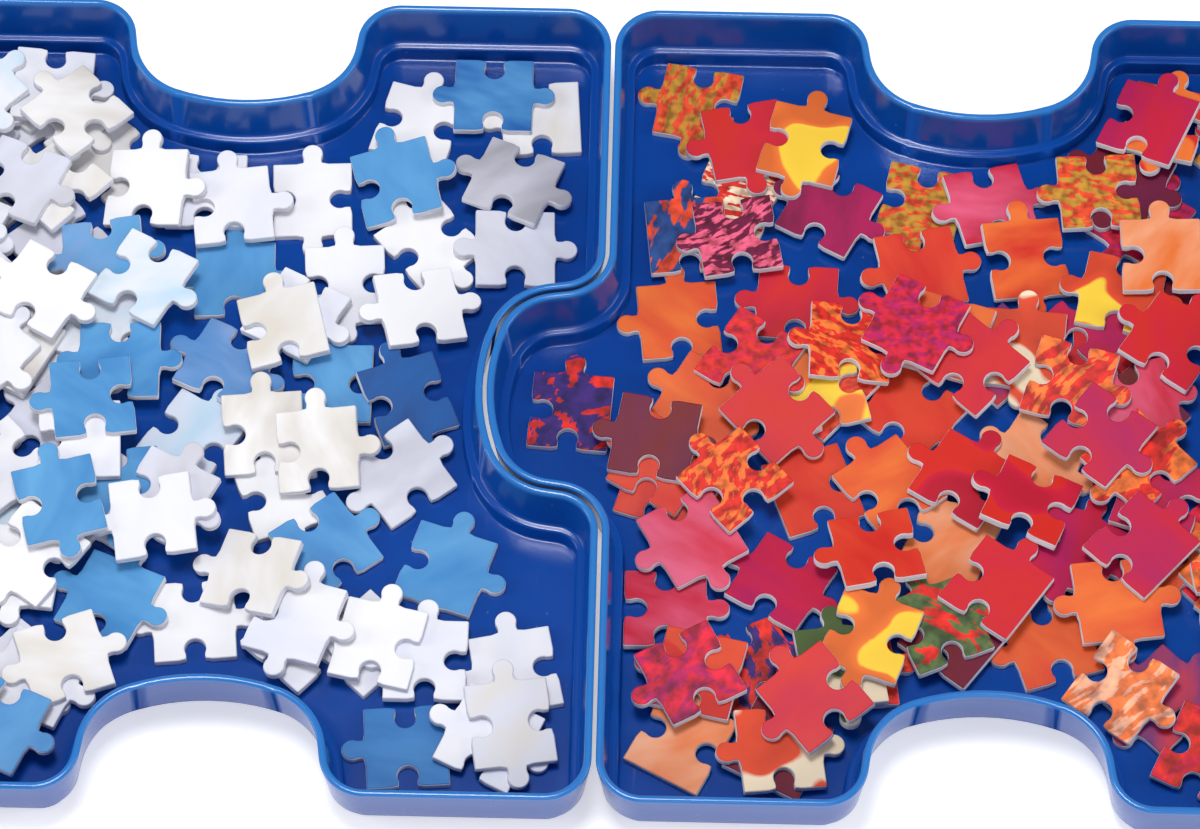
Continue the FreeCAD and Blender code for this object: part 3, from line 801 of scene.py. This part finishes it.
def fill_gaps(side, fill, hide, height, bare_share, seed):
    """Lay pieces over bare points of the floor, each turned so that it hides least, until little is bare."""
    draw = np.random.default_rng(seed)
    heap, count, dropped = heaps[side], 0, 0
    points, area = bare_floor(heap, TRAY_MIDDLE[side])
    while len(points) and len(points) + dropped > bare_share * area:
        chosen = draw.integers(len(points))
        place = points[chosen] + draw.uniform(-SHAKE, SHAKE, 2)
        tries = []
        for turn in draw.uniform(-MOST_TURN, MOST_TURN, TURN_TRIES):
            kinds = SIDE_CHOICES[draw.integers(len(SIDE_CHOICES))]
            loop, middle, _ = heap.place(*place, turn, kinds)
            if loop is not None:
                tries.append((heap.hides(loop, middle), turn, kinds))
        ink_a, ink_b = fill[draw.integers(len(fill))]
        pattern = RIGHT_PRINTS[draw.integers(len(RIGHT_PRINTS))] if side == "right" else "wash"
        hidden, turn, kinds = min(tries, default=(1.0, 0.0, ""))
        laid = None
        if hidden <= hide:
            laid = heap.lay(*place, turn, kinds, hide=hide, height=height, ink_a=ink_a, ink_b=ink_b,
                            pattern=pattern)
        if laid:
            points, count = points[~inside(points, laid["loop"])], count + 1
        else:
            points, dropped = np.delete(points, chosen, axis=0), dropped + 1
    print(side, "filling pieces", count, "bare share", round((len(points) + dropped) / area, 2))


for side, fill, seed in (("left", LEFT_FILL, 5), ("right", RIGHT_FILL, 11)):
    fill_gaps(side, fill, 0.04, 7.0, 0.0, seed)

# %% Pieces on top
# x, y, turn, sides, ink A, ink B, print unless it is a wash
LEFT_TOP = [
    (-20, 78, -6, "fsks", "white", "beige"), (-98, 68, 8, "kkss", "white", "lilac_white"),
    (-119, 66, -4, "kkss", "white", "white"), (-123, 12, 2, "ksks", "mid_sky", "sky"),
    (-121, -24, 4, "kskk", "mid_sky", "sky"), (-104, -31, -8, "ksks", "mid_sky", "sky"),
    (-129, 42, 8, "ksks", "sky", "lilac_sky"), (-50, -17, 38, "ksks", "light_grey", "lilac_white"),
    (-54, -66, -12, "skks", "white", "white"), (-26, -90, -24, "ksks", "white", "lilac_white"),
    (-77, -68, -18, "kksk", "white", "lilac_white"), (-13, -93, 10, "sksk", "lilac_white", "beige"),
    (-46, 28, 14, "ksks", "white", "white"), (-26, 24, -12, "skks", "white", "lilac_white"),
    (-74, 92, 8, "sksk", "white", "lilac_white"), (-118, -84, 20, "ksks", "white", "beige"),
    (-26, -48, 26, "sksk", "beige", "light_grey"),
]
RIGHT_TOP = [
    (50, 80, -14, "sksk", "orange", "yellow", "petal"), (45, 95, 28, "skks", "indigo", "red", "stroke"),
    (14, 73, 10, "ksks", "indigo", "red", "stroke"),
    (12, 55, 6, "skfs", "slate", "orange_red", "stroke"),
    (33, 52, 10, "ssks", "plum", "pink", "speckle"),
    (119, 77, 4, "ssks", "ochre", "orange_red", "speckle"),
    (55, 8, 14, "skks", "orange", "yellow", "petal"),
    (48, -92, 8, "ksks", "orange_red", "cream", "petal"),
    (106, 21, -6, "sksk", "orange_red", "cream", "petal"),
    (131, 37, -12, "ksks", "orange_red", "yellow", "petal"), (15, -14, -30, "ksks", "orange_red", "red"),
    (84, -58, 24, "kkss", "leaf", "red", "stroke"), (101, -72, -14, "skks", "plum", "magenta"),
    (63, -78, 10, "sksk", "leaf", "cream", "petal"), (22, -35, 30, "kskk", "pink", "crimson"),
    (134, 6, 14, "ksks", "crimson", "pink"), (13, -8, -10, "ksks", "maroon", "plum"),
    (128, -50, 8, "kskk", "orange_red", "orange"), (99, 34, 24, "ksks", "plum", "maroon"),
    (67, -62, -20, "sksk", "orange", "yellow", "petal"),
    (30, -20, 12, "kkss", "orange", "yellow", "petal"),
]
TOP_HIDE, TOP_HEIGHT = 0.36, 13.0
for side, top in (("left", LEFT_TOP), ("right", RIGHT_TOP)):
    for x, y, turn, kinds, ink_a, ink_b, *printed in top:
        if heaps[side].lay(x, y, turn, kinds, hide=TOP_HIDE, height=TOP_HEIGHT, shown=TOP_SHOWN,
                           ink_a=ink_a, ink_b=ink_b, pattern=(*printed, "wash")[0]) is None:
            print("no room at", x, y)

# %% Filling pieces over the gaps
# largest share hidden, height, added to the seed
ROUNDS = [(0.10, 10.0, 0), (0.15, 12.5, 50), (0.20, 13.5, 100)]
BARE_SHARE = 0.12
for side, fill, seed in (("left", LEFT_FILL, 6), ("right", RIGHT_OVER, 12)):
    for hide, height, added in ROUNDS:
        fill_gaps(side, fill, hide, height, BARE_SHARE, seed + added)
    laid = heaps[side].laid
    highest = max(float(piece["top"][0] + np.max((piece["loop"] - piece["middle"]) @ piece["slope"]))
                  for piece in laid)
    print(side, "pieces in all", len(laid), "highest", round(highest, 1))

# %% [markdown]
# ## Piece meshes
# Each piece is its outline, rounded by corner cutting, raised in four rings: the back, the top of the
# cut side, and two that round the pressed edge of the face. Pieces with a solid stand for it and
# are objects of their own. The others are gathered by tray, layer and ink family.

# %% Piece meshes
HEAD_STEPS, CORNER_TRIM = 8, 1.1
RING_INSET = np.array([0.0, 0.0, 0.10, 0.30])      # from the outline
RING_HEIGHT = PIECE_THICKNESS - np.array([PIECE_THICKNESS, 0.40, 0.10, 0.0])
SHARP_ANGLE = 50.0


def inset_loop(loop, distance):
    """Loop moved in along the mean of its two edges' normals at each point."""
    edge = np.roll(loop, -1, axis=0) - np.roll(loop, 1, axis=0)
    normal = np.stack([-edge[:, 1], edge[:, 0]], axis=1) / np.linalg.norm(edge, axis=1, keepdims=True)
    return loop + normal * distance


def piece_mesh_data(record, draw):
    """Points, faces, face materials, print coordinates and rings of a piece that lies as recorded."""
    flat = cut_corners(piece_outline(record["kinds"], HEAD_STEPS, CORNER_TRIM))
    slope_x, slope_y = record["slope"]
    normal = np.array([-slope_x, -slope_y, 1.0])
    normal /= np.linalg.norm(normal)
    axis = np.cross([0, 0, 1.0], normal)
    skew = np.array([[0, -axis[2], axis[1]], [axis[2], 0, -axis[0]], [-axis[1], axis[0], 0]])
    tilt = np.eye(3) + skew + skew @ skew / (1 + normal[2])
    rings = [np.column_stack([inset_loop(flat, inset) @ record["spin"], np.full(len(flat), height)])
             for inset, height in zip(RING_INSET, RING_HEIGHT)]
    points = np.vstack(rings) @ tilt.T + [*record["middle"], record["base"]]
    count, ring_count = len(flat), len(rings)
    faces = strip_faces(ring_count, count)
    faces += [list(range(count))[::-1], list(range((ring_count - 1) * count, ring_count * count))]
    printed = 1 + PRINT_ORDER.index(record["pattern"])
    slots = [0] * ((ring_count - 2) * count) + [printed] * count + [0, printed]
    turned = spin_matrix(draw.uniform(0, 2 * math.pi))
    sheet = np.vstack([flat] * ring_count) @ turned * MM + draw.uniform(0, 3, 2)
    return points, faces, slots, sheet, np.repeat(np.arange(ring_count), count)


def card_object(name, records, draw):
    """One object that holds these pieces, with their inks and print coordinates."""
    points, faces, slots, sheets, rings, inks = [], [], [], [], [], []
    start = 0
    for record in records:
        piece_points, piece_faces, piece_slots, sheet, ring = piece_mesh_data(record, draw)
        points.append(piece_points)
        faces += [[index + start for index in face] for face in piece_faces]
        slots += piece_slots
        sheets.append(sheet)
        rings.append(ring)
        inks.append(np.tile([*INKS[record["ink_a"]], 1, *INKS[record["ink_b"]], 1], (len(sheet), 1)))
        start += len(sheet)
    made = add_mesh(name, np.vstack(points), faces, [CUT_BOARD, *PRINTS])
    mesh = made.data
    mesh.polygons.foreach_set("material_index", slots)
    corner = np.empty(len(mesh.loops), dtype=np.int32)
    mesh.loops.foreach_get("vertex_index", corner)
    mesh.uv_layers.new(name="print").data.foreach_set("uv", np.vstack(sheets)[corner].ravel())
    for column, label in ((0, "ink_a"), (4, "ink_b")):
        layer = mesh.attributes.new(label, "FLOAT_COLOR", "POINT")
        layer.data.foreach_set("color", np.vstack(inks)[:, column:column + 4].ravel())
    mesh.set_sharp_from_angle(angle=math.radians(SHARP_ANGLE))
    edge_ends = np.empty(len(mesh.edges) * 2, dtype=np.int32)
    mesh.edges.foreach_get("vertices", edge_ends)
    ends = np.concatenate(rings)[edge_ends.reshape(-1, 2)]
    sharp = np.empty(len(mesh.edges), dtype=bool)
    mesh.edges.foreach_get("use_edge_sharp", sharp)
    mesh.edges.foreach_set("use_edge_sharp", sharp | np.all(ends == len(RING_INSET) - 1, axis=1))
    return made


# %% Pieces as objects
FAMILY_OF_INK = {
    "white": "white", "lilac_white": "white", "beige": "white", "cream": "white", "light_grey": "pale_grey",
    "grey": "pale_grey", "sky": "sky_blue", "pale_sky": "sky_blue", "mid_sky": "sky_blue",
    "lilac_sky": "sky_blue", "deep_sky": "sky_blue", "slate": "sky_blue",
    "red": "red", "crimson": "red", "maroon": "red", "orange_red": "orange", "orange": "orange",
    "peach": "orange", "yellow": "orange", "ochre": "orange", "magenta": "magenta", "plum": "magenta",
    "pink": "magenta", "indigo": "magenta", "leaf": "speckled",
}
draw = np.random.default_rng(29)
gathered = {}
for side, heap in heaps.items():
    for record in heap.laid:
        body = side + ("_upper_pieces" if record["upper"] else "_lower_pieces")
        if "node" in record:
            card = card_object(record["node"] + "_card", [record], draw)
            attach(card, body)
            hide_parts(record["node"])
        else:
            printed = record["pattern"] != "wash" and side == "right"
            family = "speckled" if printed else FAMILY_OF_INK[record["ink_a"]]
            gathered.setdefault((body, family), []).append(record)
for (body, family), records in sorted(gathered.items()):
    card = card_object(f"{body}_{family}_cards", records, draw)
    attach(card, body)
    print(card.name, len(records), "pieces")


# %% [markdown]
# ## Floor and light
# The trays stand on a plain white surface. A soft lamp almost overhead, a little behind them, lights
# the open floors and leaves the far walls dark. It is kept out of the direction that the glossy
# floors mirror to the camera, so they stay deep blue. A weak lamp in front and one on each side fill
# the near side and draw light lines along the rims.

# %% Floor
def pale_floor():
    """White surface that glows a little, so that it looks nearly white and keeps the object's shadow."""
    material, tree, shader = new_material("pale_floor")
    set_inputs(tree, shader, {"Base Color": (0.86, 0.86, 0.87, 1), "Roughness": 0.9,
                              "Emission Color": (1, 1, 1, 1), "Emission Strength": 0.45})
    return material


FLOOR_HALF, FLOOR_DROP = 3000.0, 0.2
grid = [(x * FLOOR_HALF, y * FLOOR_HALF, -FLOOR_DROP) for x, y in ((-1, -1), (1, -1), (1, 1), (-1, 1))]
floor = add_mesh("floor", grid, [[0, 1, 2, 3]], [pale_floor()], smooth=False)


# %% Lights
def soft_lamp(name, place, size, power):
    """Square area lamp at a place in metres, turned towards the origin."""
    lamp = bpy.data.lights.new(name, "AREA")
    lamp.size, lamp.energy = size, power
    made = bpy.data.objects.new(name, lamp)
    x, y, z = made.location = place
    made.rotation_euler = (math.atan2(math.hypot(x, y), z), 0, math.atan2(y, x) + math.pi / 2)
    bpy.context.scene.collection.objects.link(made)


soft_lamp("key_lamp", (-0.12, 0.10, 1.5), 0.4, 11.2)
soft_lamp("front_lamp", (0.2, -1.3, 0.9), 0.8, 3.7)
soft_lamp("left_lamp", (-1.3, -0.1, 0.6), 0.7, 5.5)
soft_lamp("right_lamp", (1.3, -0.1, 0.6), 0.7, 5.5)
SKY_LIGHT, SKY_IN_GLOSS = 0.36, 0.03
world = bpy.data.worlds.new("studio")
world.use_nodes = True
tree = world.node_tree
tree.nodes.clear()
path = add_node(tree, "LightPath").outputs
sky = add_math(tree, "MULTIPLY_ADD", path["Is Glossy Ray"], SKY_IN_GLOSS - SKY_LIGHT, SKY_LIGHT)
sky = add_math(tree, "MAXIMUM", sky, path["Is Camera Ray"])
glow = add_node(tree, "Background", {"Color": (1, 1, 1, 1), "Strength": sky})
add_node(tree, "OutputWorld", {"Surface": glow.outputs[0]})
bpy.context.scene.world = world
